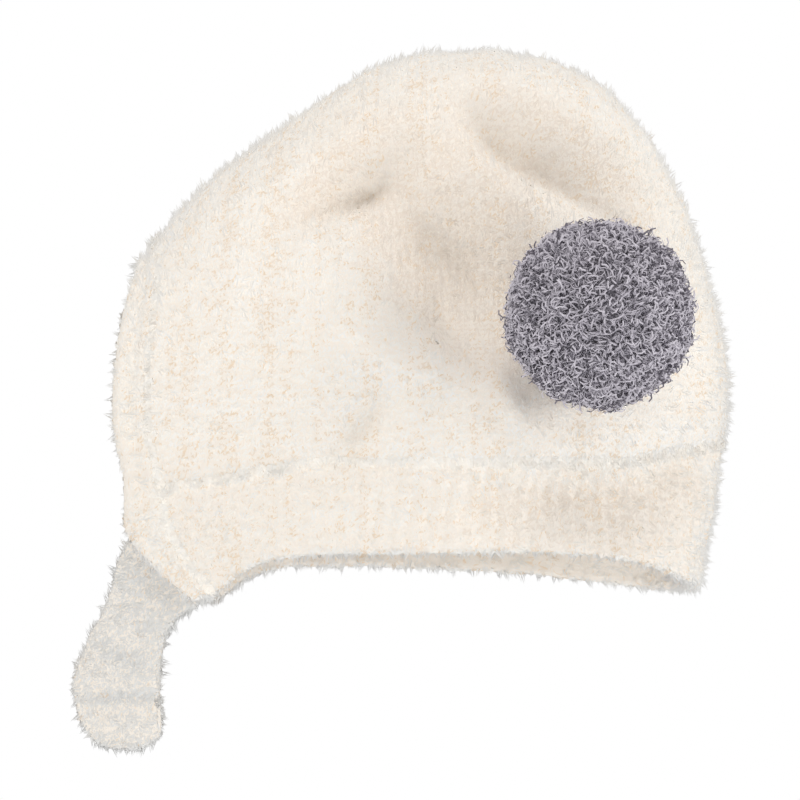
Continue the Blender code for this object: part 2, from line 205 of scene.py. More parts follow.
crown = skin_of("crown", "crown_skin", 1.9 * MM, 1, 0.6 * MM, crown_seam_side)
neck_band = skin_of("neck_band", "neck_band_skin", 1.5 * MM, 1, 0.5 * MM, all_up)
face_band = skin_of("face_band", "face_band_skin", 1.2 * MM, 1, 0.2 * MM, all_back)
strap = skin_of("chin_strap", "strap_skin", 1.1 * MM, 2, 0.6 * MM)
patch = skin_of("strap_patch", "patch_skin", 0.5 * MM, 1, 0)
pompom_core = skin_of("pompom", "pompom_core", 2.0 * MM, 4, 3.0 * MM)
for skin in (crown, neck_band, face_band, strap, patch, pompom_core):
    print(skin.name, len(skin.data.polygons), "faces")

# %% [markdown]
# ## Soft folds
#
# Nobody is wearing the hat, so its near side sinks in soft folds: a crease under the front ridge, a wide
# dent in front of the pompom, and lesser ones beside them. The solid holds the largest. The rest are
# hills and dents with soft edges, each an oval on the near side with a length, a width, a tilt and a
# height. The crown and the band get the same ones, so that a fold runs on across their seam. A little
# unevenness all over keeps it from looking cast.

# %% Fold the near side
FOLDS_MM = (
    # middle x, middle z, half length, half width, tilt in degrees, height
    (-40.5, -36.5, 20, 7.0, 40, -10.0),  # the crease under the front ridge
    (-39, -35.5, 15, 4.0, 40, -2.0),
    (-18, -46, 28, 16, -50, -8.0),  # the hollow behind it
    (-46, -28, 18, 5, 41, 1.2),
    (0, -60, 36, 19, -63, -18.0),  # the wide dent in front of the ball
    (-4, -76, 9, 6, -60, -5.5),
    (-19, -69, 7, 5, -40, -2.0),
    (22, -25, 30, 10, -36, -15.0),  # the valley under the back ridge
    (-20, -88, 28, 6, -20, 4.5),  # the fold below the dent
    (12, -103, 11, 3.5, -64, 2.0),
    (-32, -107, 10, 4, 50, -4.0),
    (34, -128, 34, 12, 3, -7.0),  # the band tucks in behind the ear
    (62, -118, 9, 8, 20, -5.0),
)
TOP_LEFT_SINK = (-50, -18, 26, 14, 35, -1.6)  # on both sides of the head


def oval(points, middle_x, middle_z, half_length, half_width, tilt, height):
    x, z = points[:, 0] / MM - middle_x, points[:, 2] / MM - middle_z
    turn = math.radians(tilt)
    along = (x * math.cos(turn) + z * math.sin(turn)) / half_length
    across = (z * math.cos(turn) - x * math.sin(turn)) / half_width
    return height * MM * np.exp(-(along**2 + across**2))


WAVES = 24  # in the unevenness


def unevenness(points, size, seed):
    """Soft random hills, about 1 high, as a sum of waves that run in all directions."""
    choose = np.random.default_rng(seed)
    ways = unit(choose.normal(0, 1, (WAVES, 3))) * math.tau / (size * choose.uniform(0.7, 1.4, (WAVES, 1)))
    return np.sin(points @ ways.T + choose.uniform(0, math.tau, WAVES)).sum(1) / math.sqrt(WAVES)


HAT_MIDDLE = np.array((-21, 0, -70)) * MM
NEAR_START, NEAR_FADE = 10 * MM, 25 * MM  # how far off the middle the folds begin, and reach their height
HILL_SIZE, HILL_HEIGHT_MM = 14 * MM, 0.3


def fold_height(points):
    near = np.clip((-points[:, 1] - NEAR_START) / NEAR_FADE, 0, 1)
    return sum(oval(points, *one) for one in FOLDS_MM) * near + oval(points, *TOP_LEFT_SINK)


def fold(skin):
    points = points_of(skin.data)
    out = unit((points - HAT_MIDDLE) * (1, 1, 0.6))
    lift = fold_height(points) + unevenness(points, HILL_SIZE, 3) * HILL_HEIGHT_MM * MM
    move_points(skin.data, points + out * lift[:, None])
    print(skin.name, "deepest fold in mm:", round(lift.min() / MM, 1))


for skin in (crown, neck_band):
    fold(skin)

# %% [markdown]
# ## The far hem and the strap
#
# The far edge's soft rim hangs a little. The strap is soft too: a crease crosses it above its end, and
# its lower left has a dimple, where the stitches of the closure patch behind it draw the pile in.

# %% Let the hem droop, and crease the strap
HEM_DROOP = 1.8 * MM
DROOP_START, DROOP_FADE, FAR_FADE = -132 * MM, 8 * MM, 30 * MM
points = points_of(neck_band.data)
low_down = np.clip((DROOP_START - points[:, 2]) / DROOP_FADE, 0, 1)
far_off = np.clip(points[:, 1] / FAR_FADE, 0, 1)
move_points(neck_band.data, points + DOWN * (low_down * far_off * HEM_DROOP)[:, None])

STRAP_FOLDS_MM = (
    # middle x, middle z, half length, half width, tilt in degrees, height
    (-101.5, -185.4, 11, 2.2, 4, -1.4),  # the crease above its end
    (-106, -190.2, 2.2, 1.6, -50, -1.6),  # the dimple
    (-103, -168, 12, 3, -30, 0.5),
    (-98, -176, 12, 3, -25, -0.6),
)
STRAP_HILL_SIZE, STRAP_HILL_HEIGHT_MM = 9 * MM, 0.25
points, faces = points_of(strap.data), normals_of(strap.data)
lift = sum(oval(points, *one) for one in STRAP_FOLDS_MM)
lift += unevenness(points, STRAP_HILL_SIZE, 5) * STRAP_HILL_HEIGHT_MM * MM
move_points(strap.data, points + faces * (lift * (faces[:, 1] < 0.3))[:, None])  # its back stays flat
print("strap's deepest fold in mm:", round(lift.min() / MM, 1))

# %% [markdown]
# ## Where the stitches are
#
# Knitting is a grid. Columns of stitches, called wales, run up the hat, and rows of stitches, called
# courses, run round it. Chenille yarn hides the loops, but its pile still bursts out stitch by stitch. So
# every point of the cloth gets two lengths: how far round it is, and how far up. The way round is
# measured as on an oval, and the way up as a height on the wall and as an arc over the crown. Low on the
# hat, the way through the wall counts too, so that the edges of the cloth have their stitches.

# %% Lengths round and up the cloth
HALF_LENGTH, HALF_WIDTH = 92 * MM, 70 * MM
CROWN_RADIUS = 78 * MM
LOW_START, LOW_FADE = -40 * MM, 20 * MM

turns = np.linspace(-math.pi, math.pi, 721)
steps_round = np.hypot(HALF_LENGTH * np.sin(turns), HALF_WIDTH * np.cos(turns)) * (turns[1] - turns[0])
way_round = np.cumsum(steps_round)
way_round -= np.interp(-math.pi / 2, turns, way_round)


def cloth_lengths(points):
    """The length round the hat from the middle of its near side, and the length up, for each point."""
    across = (points - HAT_MIDDLE) / (HALF_LENGTH, HALF_WIDTH, 1)
    turn = np.arctan2(across[:, 1], across[:, 0])
    round_it = np.interp(turn, turns, way_round) * np.hypot(across[:, 0], across[:, 1])
    high = across[:, 2]
    slope = np.arctan2(high, np.hypot(*(points - HAT_MIDDLE)[:, :2].T))
    through = (np.hypot(across[:, 0], across[:, 1]) - 1) * (HALF_LENGTH + HALF_WIDTH) / 2
    low_down = np.clip((LOW_START - high) / LOW_FADE, 0, 1)
    return round_it, np.where(high < 0, high + through * low_down, slope * CROWN_RADIUS)


print("half way round the hat, in mm:", round((way_round[-1] - way_round[0]) / 2 / MM))

# %% [markdown]
# ## The seams
#
# Where two pieces meet, a thin groove is left between their solids. On the real hat the pile closes over
# it. So each point of a skin gets a pull towards the nearest point of the next piece, and the pile there
# follows it.

# %% The way to the next piece
SEAM_REACH = 3.0 * MM


def pulls_towards(skin, neighbours):
    """At each point of a skin, a pull towards the next piece: 1 long where they touch, 0 out of reach."""
    beside = np.concatenate([points_of(other.data) for other in neighbours])
    tree = KDTree(len(beside))
    for k, point in enumerate(beside):
        tree.insert(point, k)
    tree.balance()
    points = points_of(skin.data)
    found = [tree.find(point) for point in points]
    ways = np.array([place for place, _, _ in found]) - points
    nearness = np.clip(1 - np.array([distance for _, _, distance in found]) / SEAM_REACH, 0, 1)
    return unit(ways) * nearness[:, None]


seam_pulls = {
    "crown_skin": pulls_towards(crown, (neck_band, face_band)),
    "neck_band_skin": pulls_towards(neck_band, (crown, face_band)),
    "face_band_skin": pulls_towards(face_band, (crown, neck_band)),
}
for name, pulls in seam_pulls.items():
    print(name, "points in reach of a seam:", int((np.linalg.norm(pulls, axis=1) > 0).sum()))

# %% [markdown]
# ## Places for the tufts
#
# Random places alone would leave bald spots beside thick ones. So many places are thrown at the skin, and
# each stitch keeps the one that fell nearest its middle. That is nearly even, and still not a machine's
# grid.

# %% Throw places at a skin, and keep one in each stitch
rng = np.random.default_rng(12)


def throw_places(skin, spacing):
    """Even random places on a skin, with its direction and its pull to a seam there."""
    mesh = skin.data
    mesh.calc_loop_triangles()
    corners = np.empty(len(mesh.loop_triangles) * 3, np.int32)
    mesh.loop_triangles.foreach_get("vertices", corners)
    corners = corners.reshape(-1, 3)
    points, normals = points_of(mesh), normals_of(mesh)
    pulls = seam_pulls.get(skin.name, np.zeros_like(points))
    first, second, third = (points[corners[:, k]] for k in range(3))
    areas = np.linalg.norm(np.cross(second - first, third - first), axis=1) / 2
    count = int(areas.sum() / spacing**2)
    chosen = corners[rng.choice(len(corners), count, p=areas / areas.sum())]
    shares = rng.dirichlet((1, 1, 1), count)[:, :, None]
    places, faces, pulls = ((values[chosen] * shares).sum(1) for values in (points, normals, pulls))
    return places, unit(faces), pulls


def one_in_each(places, spacing):
    """The numbers of the places to keep: in each stitch, one that fell fairly near its middle."""
    way_round, way_up = cloth_lengths(places)
    column, row = np.floor(way_round / spacing), np.floor(way_up / spacing)
    off_middle = np.hypot(way_round / spacing - column - 0.5, way_up / spacing - row - 0.5)
    order = np.argsort(off_middle + rng.uniform(0, 0.5, len(places)))
    stitches = np.stack((column, row, np.broadcast_to(spacing, len(places))), 1)[order]
    return order[np.unique(stitches, axis=0, return_index=True)[1]]


# %% [markdown]
# ## One tuft
#
# A tuft of chenille is a bunch of short fibres whose tips cling together. Each fibre is a spike with
# three sides. A long tuft stands up as a round bunch. The short ones and the seam's are flattened to
# blades, because most of the pile lies on the cloth, and flat blades hide the knit with few faces. Every
# fibre carries its own map: across it runs from -1 to 1, and along it from the root, 0, to the tip, 1.

# %% Make a tuft
BAKE_MAP = "OFBake"
TIP_LEVEL = 0.4  # what is above this is a tip


def tuft_shape(name, fibres, width, root_spread, tip_spread, thickness=1.0, closed=False):
    """A bunch of fibres, about 1 long, rooted in a ring round the middle.

    A thickness below 1 flattens it into a blade, and closed gives each fibre a face at its root.
    """
    shape = bmesh.new()
    for k in range(fibres):
        turn = math.tau * (k + rng.uniform(-0.3, 0.3)) / fibres
        root = Vector((math.cos(turn), math.sin(turn), 0)) * root_spread * rng.uniform(0.7, 1.3)
        tip = Vector((rng.normal(0, tip_spread), rng.normal(0, tip_spread), rng.uniform(0.65, 1.0)))
        along = tip - root
        placed = Matrix.LocRotScale((root + tip) / 2, along.to_track_quat("Z", "Y"), (1, 1, along.length))
        bmesh.ops.create_cone(
            shape, cap_ends=closed, segments=3, radius1=width / 2, radius2=0, depth=1, matrix=placed)
    bmesh.ops.scale(shape, vec=(1, thickness, 1), verts=shape.verts)
    layer = shape.loops.layers.uv.new(BAKE_MAP)
    for face in shape.faces:
        sides = iter((-1, 1, 0))
        for corner in face.loops:
            corner[layer].uv = (0, 1) if corner.vert.co.z > TIP_LEVEL else (next(sides), 0)
    return mesh_from(name, shape)


long_tuft = tuft_shape("long_tuft", 4, width=0.15, root_spread=0.22, tip_spread=0.08)
short_tuft = tuft_shape("short_tuft", 3, width=0.60, root_spread=0.45, tip_spread=0.35, thickness=0.25)
seam_tuft = tuft_shape(
    "seam_tuft", 3, width=0.45, root_spread=0.35, tip_spread=0.20, thickness=0.3, closed=True)
for tuft in (long_tuft, short_tuft, seam_tuft):
    print(tuft.name, len(tuft.polygons), "faces")

# %% [markdown]
# ## Many tufts
#
# Tens of thousands of copies are one mesh with the tuft's faces over and over. An object for each would
# take minutes, so the copies are placed in one go: the tuft's points are turned, sized and moved by whole
# tables of numbers. A tuft's tone, from 0 to 1, picks its strip across the map, and all the fibres of one
# tone share it.

# %% Copy a tuft's faces and its map
TONES = 32


def axes_for(directions, lengths, skin_faces, lying):
    """Three axes for each tuft, as long as it is."""
    spins = rng.random(len(directions)) * math.tau * (not lying)
    ahead = unit(directions)
    helper = skin_faces if lying else np.where(np.abs(ahead[:, 2:]) < 0.9, UP, BACK)
    sideways = unit(np.cross(helper, ahead))
    third = np.cross(ahead, sideways)
    turned = sideways * np.cos(spins)[:, None] + third * np.sin(spins)[:, None]
    return np.stack((turned, np.cross(ahead, turned), ahead), 1) * lengths[:, None, None]


def copy_faces(mesh, tuft, points):
    """Gives a mesh the tuft's faces over and over, once for each copy's points."""
    count = len(points)
    corners = np.empty(len(tuft.loops), np.int32)
    tuft.loops.foreach_get("vertex_index", corners)
    sizes = np.empty(len(tuft.polygons), np.int32)
    tuft.polygons.foreach_get("loop_total", sizes)
    mesh.vertices.add(count * len(tuft.vertices))
    mesh.loops.add(count * len(corners))
    mesh.polygons.add(count * len(sizes))
    mesh.vertices.foreach_set("co", points.astype(np.float32).ravel())
    offsets = (np.arange(count) * len(tuft.vertices))[:, None]
    mesh.loops.foreach_set("vertex_index", (corners[None] + offsets).astype(np.int32).ravel())
    starts = np.concatenate(([0], np.cumsum(np.tile(sizes, count))[:-1]))
    mesh.polygons.foreach_set("loop_start", starts.astype(np.int32))
    mesh.update(calc_edges=True)


def copy_map(mesh, tuft, tones):
    """Lays each copy's own map into the strip of its tone."""
    fibre_map = np.empty(len(tuft.loops) * 2, np.float32)
    tuft.uv_layers[BAKE_MAP].data.foreach_get("uv", fibre_map)
    fibre_map = fibre_map.reshape(-1, 2)
    strip = np.minimum((np.clip(tones, 0, 1) * TONES).astype(int), TONES - 1)
    across = (strip[:, None] + 0.5 + fibre_map[None, :, 0] * 0.45) / TONES
    along = np.broadcast_to(fibre_map[None, :, 1], across.shape)
    layer = mesh.uv_layers.new(name=BAKE_MAP)
    layer.data.foreach_set("uv", np.stack((across, along), 2).astype(np.float32).ravel())


# %% [markdown]
# ## Soft to the light
#
# Real pile is soft to the light, because each fibre lets some of it through. A hard little blade does not.
# So a tuft is shaded mostly with the skin's own direction. A side that turns its back on that direction
# would be black, and is given enough of its own direction to be lit.

# %% Strew tufts as one piece
OWN_SHARE = 0.3  # the least of its own direction that each side is shaded with


def shade_softly(mesh, tuft, axes, skin_faces, softness):
    flat_sides = np.array([side.normal for side in tuft.polygons for _ in side.loop_indices])
    own = np.einsum("pk,ckd->cpd", flat_sides, axes)
    wanted = unit(own * (1 - softness) + skin_faces[:, None, :] * softness)
    missing = np.clip(OWN_SHARE - (wanted * own).sum(2, keepdims=True), 0, None)
    mesh.normals_split_custom_set(unit(wanted + missing * own).reshape(-1, 3))


def strew(name, tuft, places, directions, lengths, tones, material, skin_faces,
          softness=0.0, lying=False):
    """One piece of many tufts.

    skin_faces are the skin's directions, and softness is how far the shading takes them. Tufts that lie on
    the cloth have their flat side on it. The others are turned at random.
    """
    axes = axes_for(directions, lengths, skin_faces, lying)
    points = places[:, None, :] + np.einsum("pk,ckd->cpd", points_of(tuft), axes)
    mesh = bpy.data.meshes.new(name)
    copy_faces(mesh, tuft, points)
    copy_map(mesh, tuft, tones)
    mesh.shade_smooth()
    if softness:
        shade_softly(mesh, tuft, unit(axes), skin_faces, softness)
    mesh.materials.append(material)
    piece = bpy.data.objects.new(name, mesh)
    bpy.context.scene.collection.objects.link(piece)
    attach(piece, "root")
    print(name, len(places), "tufts,", len(mesh.polygons), "faces")
    return piece


# %% [markdown]
# ## Colour of the pile
#
# Cream chenille isn't one colour. Its tufts run from a cold white through cream and peach to the tan of the
# core thread. The peach is painted shade, where the tones below darken the hollows, and the cold white is
# painted light at the edges and under the hem. The cream, the tan and their random spread are the yarn's
# own. Low on a fibre the colour is warmer and darker, partly the tan core thread and partly painted shade
# deep in the pile. The strap's pile is a greyer, darker copy of the cream, painted shade for the low
# strap. The material reads the fibre's own map: the tone across it and the way along it.

# %% Pile materials
ROOT_SHADE_REACH = 0.7  # of the fibre's length, over which the root's colour fades


def add_node(material, kind, inputs=(), **settings):
    """A node with its settings made, and its sockets fed with numbers, colours or other nodes' outputs."""
    node = material.node_tree.nodes.new(kind)
    for setting, value in settings.items():
        setattr(node, setting, value)
    for socket, value in dict(inputs).items():
        if isinstance(value, bpy.types.NodeSocket):
            material.node_tree.links.new(value, node.inputs[socket])
        else:
            node.inputs[socket].default_value = (*value, 1) if isinstance(value, tuple) else value
    return node


def mixed(material, share, first, second):
    """The output of a node that mixes two colours."""
    inputs = {"Factor": share, "A": first, "B": second}
    return add_node(material, "ShaderNodeMix", inputs, data_type="RGBA").outputs["Result"]


def new_cloth(name):
    """A dull material with the faint sheen of fine fibres, and its shader's sockets."""
    material = bpy.data.materials.new(name)
    material.use_nodes = True
    sockets = material.node_tree.nodes["Principled BSDF"].inputs
    sockets["Roughness"].default_value = 0.95
    sockets["Specular IOR Level"].default_value = 0.1
    sockets["Sheen Weight"].default_value = 0.15
    return material, sockets


def pile_material(name, tone_colours, root_shade_colour, root_shade_share=0.5):
    """Tones across the map, with the root colour mixed in low on the fibre as painted shade."""
    material, sockets = new_cloth(name)
    fibre = add_node(material, "ShaderNodeUVMap", uv_map=BAKE_MAP)
    parts = add_node(material, "ShaderNodeSeparateXYZ", {0: fibre.outputs["UV"]})
    tones = add_node(material, "ShaderNodeValToRGB", {"Fac": parts.outputs["X"]})
    while len(tones.color_ramp.elements) < len(tone_colours):
        tones.color_ramp.elements.new(0.5)
    for k, (element, colour) in enumerate(zip(tones.color_ramp.elements, tone_colours)):
        element.position = k / (len(tone_colours) - 1)
        element.color = (*colour, 1)
    reach = {"Value": parts.outputs["Y"], "From Max": ROOT_SHADE_REACH, "To Min": root_shade_share, "To Max": 0}
    depth = add_node(material, "ShaderNodeMapRange", reach)
    # The root colour, mixed in low on the fibre, is painted shade deep in the pile, and on cream partly the
    # tan core thread.
    colour = mixed(material, depth.outputs[0], tones.outputs["Color"], root_shade_colour)
    material.node_tree.links.new(colour, sockets["Base Color"])
    return material


cream_pile = pile_material(
    "cream pile",
    tone_colours=((0.93, 0.93, 0.92), (0.95, 0.925, 0.875), (0.89, 0.82, 0.745), (0.83, 0.68, 0.51)),
    root_shade_colour=(0.955, 0.90, 0.82),
    root_shade_share=0.25,
)
# The strap's pile is a greyer, darker copy of the cream pile: painted shade, as the strap hangs low.
shaded_strap_pile = pile_material(
    "strap pile",
    tone_colours=((0.80, 0.805, 0.80), (0.81, 0.80, 0.775), (0.79, 0.76, 0.72), (0.73, 0.61, 0.49)),
    root_shade_colour=(0.79, 0.77, 0.73),
    root_shade_share=0.25,
)
grey_yarn = pile_material(
    "lilac grey yarn",
    tone_colours=((0.48, 0.46, 0.515), (0.615, 0.585, 0.65), (0.74, 0.71, 0.775)),
    root_shade_colour=(0.36, 0.345, 0.39),
    root_shade_share=0.45,
)
for material in (cream_pile, shaded_strap_pile, grey_yarn):
    print(material.name, len(material.node_tree.nodes), "nodes")

# %% [markdown]
# ## Where the core thread shows
#
# Chenille is spun on a tan core thread. It shows in short dashes, one above the other in the columns of
# stitches. So each column has a chance of its own, and so has each run of stitches in it. On the ribbed
# band most dashes lie in the furrows between the ribs.

# %% Pick the dashes
COLUMN, RIB = 1.4 * MM, 5.4 * MM
DASH_ROWS = 1.5  # stitches to a run
FURROW_START = 0.32  # of a rib's width, off its middle
FURROW_SHARE, RIB_SHARE = 2.4, 0.3
PATCHY_SIZE = 20 * MM
COLUMN_CHANCES = np.random.default_rng(8).random(997) ** 2 * 3  # most columns show little, a few a lot
RUN_CHANCES = np.random.default_rng(9).random(9973)
COLUMN_STEP = 131  # how far on in that list the next column starts


def outside(points, normals):
    return (normals * (points - HAT_MIDDLE)).sum(1) > 0


def dashes(places, share, ribbed):
    """Picks the places where the core thread shows."""
    way_round, way_up = cloth_lengths(places)
    if ribbed:
        off_rib = np.abs((way_round / RIB) % 1 - 0.5)
        share = share * np.where(off_rib > FURROW_START, FURROW_SHARE, RIB_SHARE)
    column = np.floor(way_round / COLUMN).astype(int)
    run = np.floor(way_up / COLUMN / DASH_ROWS).astype(int)
    column_chance = COLUMN_CHANCES[column % len(COLUMN_CHANCES)]
    run_chance = RUN_CHANCES[(column * COLUMN_STEP + run) % len(RUN_CHANCES)]
    patchy = np.clip(1 + 0.5 * unevenness(places, PATCHY_SIZE, 6), 0.2, 2)
    return run_chance < share * column_chance * patchy


print("share of the crown in dashes:", round(dashes(points_of(crown.data), 0.3, False).mean(), 3))

# %% [markdown]
# ## Growing the pile
#
# The pile has two layers. Short blades lie on the cloth, close together, and hide the knit. Longer
# bunches stand out between them and make the saw teeth of the outline. Both are combed up the cloth where
# it faces up, and down it elsewhere. At a seam they lean over the seam.
#
# A tuft's tone follows its place, as painted light and shade: warmer and darker in the hollows of the
# folds, as painted shade, whiter where the near side turns into the far one, as painted light on that
# edge, and a cold white where the pile faces down, as under the hem, painted light that lifts its shade
# to a cool grey. The pile casts no shadow, because real pile hardly does: light goes through it.

# %% Grow the pile on a skin
LOOSENESS, UP_FROM, UP_SPREAD = 0.3, 0.15, 0.12
BLADE_RISES = 0.1, 0.4
BUNCH_COMBED, MOST_COMBED = 1.5, 0.6
BASE_TONE, TONE_SPREAD, MOST_TONE = 0.28, 0.10, 0.7
# Painted shade in the hollows, painted light at the near side's edge and where the pile faces down
HOLLOW_SHADE_TONE, EDGE_LIGHT_TONE, UNDERSIDE_LIGHT_TONE = 0.44, -0.15, -0.35
DASH_TONE, DASH_TONE_SPREAD, DASH_LENGTH = 0.97, 0.2, 0.8
HOLLOW_SHADE_DEPTH = 8 * MM
EDGE_LIGHT_WIDTH, UNDERSIDE_LIGHT_GROWTH = 0.6, 1.5
RIB_LINE = 0.6 * MM  # the half width of a rib's line of core thread
NEAR_SEAM, CLOSE_TO_SEAM = 0.3, 0.4  # lengths of the pull
SEAM_CROWDING, SEAM_LEAN, INTO_SEAM = 0.65, 0.9, 0.85
SHORTEST, LENGTH_SPREAD = 0.6, 0.8


def comb(faces, lean, lying):
    """The ways that tufts grow: along the cloth if they lie on it, and else out of it."""
    upwards = faces[:, 2:] + rng.normal(0, UP_SPREAD, (len(faces), 1)) > UP_FROM
    along_cloth = unit(UP - faces[:, 2:] * faces) * np.where(upwards, 1, -1)
    loose = rng.normal(0, LOOSENESS, faces.shape)
    if not lying:
        share = np.clip(np.abs(faces[:, 2:]) * BUNCH_COMBED, 0, MOST_COMBED)
        return faces + along_cloth * share + lean + loose
    combed = along_cloth + loose
    combed -= (combed * faces).sum(1, keepdims=True) * faces
    return unit(combed + lean) + faces * rng.uniform(*BLADE_RISES, (len(faces), 1))


def tones_at(places, faces, shown, warm):
    """A tone for each tuft. Only the core thread's dashes, which are shown, are as dark as tan."""
    # Painted shade in the hollows, painted light at the edge and where the pile faces down.
    hollow_shade = np.clip(-fold_height(places) / HOLLOW_SHADE_DEPTH, 0, 1)
    edge_light = 1 - np.clip(np.abs(faces[:, 1]) / EDGE_LIGHT_WIDTH, 0, 1)
    underside_light = np.clip(-faces[:, 2] * UNDERSIDE_LIGHT_GROWTH, 0, 1)
    tones = rng.normal(BASE_TONE + warm, TONE_SPREAD, len(places))
    tones += HOLLOW_SHADE_TONE * hollow_shade + EDGE_LIGHT_TONE * edge_light + UNDERSIDE_LIGHT_TONE * underside_light
    dash_tones = DASH_TONE - DASH_TONE_SPREAD * rng.random(len(places))
    return np.where(shown, dash_tones, np.clip(tones, 0, MOST_TONE))


def grow(name, skin, tuft, spacing, length, keep, warm=0.0, dash_share=0.0,
         material=cream_pile, lying=False, ribs=()):
    """Tufts all over the part of a skin that keep picks, closer at a seam and leaning over it.

    warm shifts their tone. dash_share is how much of the core thread shows, and ribs says where, along x,
    ribs show it too.
    """
    places, faces, pulls = throw_places(skin, spacing / 3)
    over_seam, nearness = unit(pulls), np.linalg.norm(pulls, axis=1)
    facing_seam = np.where(nearness > NEAR_SEAM, np.clip((faces * over_seam).sum(1), 0, 1), 0)
    kept = np.flatnonzero(keep(places, faces) & (facing_seam < INTO_SEAM))
    crowding = np.where(nearness[kept] > CLOSE_TO_SEAM, SEAM_CROWDING, 1)
    kept = kept[one_in_each(places[kept], crowding * spacing)]
    places, faces, over_seam, nearness, facing_seam = (
        values[kept] for values in (places, faces, over_seam, nearness, facing_seam))
    faces = unit(faces - facing_seam[:, None] * over_seam)
    lean = np.minimum(over_seam, (1, 1, 0.2)) * nearness[:, None] * SEAM_LEAN
    directions = comb(faces, lean, lying)
    shown = dashes(places, dash_share, skin == neck_band)
    for rib in ribs:
        shown |= (np.abs(places[:, 0] - rib) < RIB_LINE) & (rng.random(len(places)) < 0.5)
    lengths = length * (SHORTEST + LENGTH_SPREAD * rng.random(len(places)) ** 2)
    lengths *= np.where(shown, DASH_LENGTH, 1)
    tones = tones_at(places, faces, shown, warm)
    root_depth, softness = (0.08, 0.65) if lying else (0.3, 0.8)
    roots = places - faces * root_depth * MM
    piece = strew(name, tuft, roots, directions, lengths, tones, material, faces,
                  softness, lying)
    piece.visible_shadow = False


# %% [markdown]
# ## Over the seams
#
# The grooves between the pieces would still show as dark lines. On the real hat the yarn of the seam and
# the pile on both sides close over them. So blades are laid across each groove, close together, and all
# hang down a little.

# %% Fill a seam
SEAM_THROW, SEAM_PITCH, SEAM_RISE = 0.3 * MM, 0.62 * MM, 0.15 * MM
IN_GROOVE, NOT_ACROSS, OUTSIDE = 0.45, 0.95, 0.2
LEANS, SEAM_LENGTHS = (0.3, 1.1), (1.8, 2.8)  # the lengths are in mm
SEAM_TONE, SEAM_TONE_SPREAD = 0.36, 0.08


def fill_seam(name, skin):
    """Blades that lie across the groove of a seam, so that no dark line is left."""
    places, faces, pulls = throw_places(skin, SEAM_THROW)
    over_seam, nearness = unit(pulls), np.linalg.norm(pulls, axis=1)
    facing = (faces * over_seam).sum(1)
    outwards = places - HAT_MIDDLE
    outwards[:, 2] = np.maximum(outwards[:, 2], 0)
    outwards = unit(outwards - (outwards * over_seam).sum(1, keepdims=True) * over_seam)
    seen = (faces * outwards).sum(1) > OUTSIDE
    kept = np.flatnonzero((nearness > IN_GROOVE) & (facing < NOT_ACROSS) & seen)
    kept = kept[one_in_each(places[kept], SEAM_PITCH)]
    places, outwards, over_seam = (values[kept] for values in (places, outwards, over_seam))
    lean = np.minimum(over_seam, (1, 1, -0.4)) * rng.uniform(*LEANS, (len(places), 1))
    directions = outwards * 0.2 + lean + rng.normal(0, 0.15, places.shape)
    lengths = rng.uniform(*SEAM_LENGTHS, len(places)) * MM
    tones = rng.normal(SEAM_TONE, SEAM_TONE_SPREAD, len(places))
    roots = places + outwards * SEAM_RISE
    piece = strew(name, seam_tuft, roots, directions, lengths, tones, cream_pile,
                  outwards, softness=0.97, lying=True)
    piece.visible_shadow = False


# %% [markdown]
# ## Pile on every cream piece
#
# The crown's outside is split in a near and a far half, so that no piece is too big. The insides get one
# layer only. The face edging has two ribs of its own, which show core thread, and the strap grows a
# greyer, darker pile, which is painted shade.

# %% Grow it all
def near_side(places, faces):
    return outside(places, faces) & (places[:, 1] < 0)


def far_side(places, faces):
    return outside(places, faces) & (places[:, 1] >= 0)


def inside(places, faces):
    return ~outside(places, faces)


def strap_front(places, faces):
    return faces[:, 1] < 0.2


def strap_back(places, faces):
    return faces[:, 1] >= 0.2


SHORT, LONG, BUNCH = 1.8 * MM, 2.9 * MM, 2.5 * MM
STRAP_SHORT, STRAP_LONG = 1.9 * MM, 3.0 * MM
FACE_RIBS = -100.3 * MM, -95.1 * MM

for side, keep, coarser in (("near", near_side, 1), ("far", far_side, 1.1)):
    grow(f"crown_pile_{side}", crown, short_tuft, COLUMN * coarser, SHORT, keep,
         dash_share=0.3, lying=True)
    grow(f"crown_bunches_{side}", crown, long_tuft, BUNCH * coarser, LONG, keep)
grow("crown_pile_inside", crown, short_tuft, 3.5 * MM, LONG, inside, warm=0.2, dash_share=0.1)
grow("neck_band_pile", neck_band, short_tuft, COLUMN, SHORT, outside,
     warm=0.24, dash_share=0.4, lying=True)
grow("neck_band_bunches", neck_band, long_tuft, 2.2 * MM, LONG, outside)
# The neck band's inside gets a whiter tone than the other insides: painted light against the shade inside
# the hat.
grow("neck_band_pile_inside", neck_band, long_tuft, 2.1 * MM, LONG, inside, warm=-0.05, dash_share=0.15)
grow("face_band_pile", face_band, short_tuft, COLUMN, SHORT, outside,
     warm=0.03, dash_share=0.4, lying=True, ribs=FACE_RIBS)
grow("face_band_bunches", face_band, long_tuft, 1.8 * MM, LONG, outside)
grow("face_band_pile_inside", face_band, long_tuft, 1.6 * MM, LONG, inside, warm=0.1, dash_share=0.15)
fill_seam("crown_seam_yarn", crown)
fill_seam("neck_band_seam_yarn", neck_band)
fill_seam("face_band_seam_yarn", face_band)
for side, keep in (("outside", strap_front), ("inside", strap_back)):
    grow(f"strap_pile_{side}", strap, short_tuft, COLUMN, STRAP_SHORT, keep,
         dash_share=0.08, material=shaded_strap_pile, lying=True)
    grow(f"strap_bunches_{side}", strap, long_tuft, 1.7 * MM, STRAP_LONG, keep, material=shaded_strap_pile)

# %% [markdown]
# ## The pompom
#
# The ball is a mass of grey chenille ends that curl over each other. Each curl is a narrow ribbon bent
# round an arc. It is spun from one short edge that slants, so that the ribbon shows its face from most
# sides.

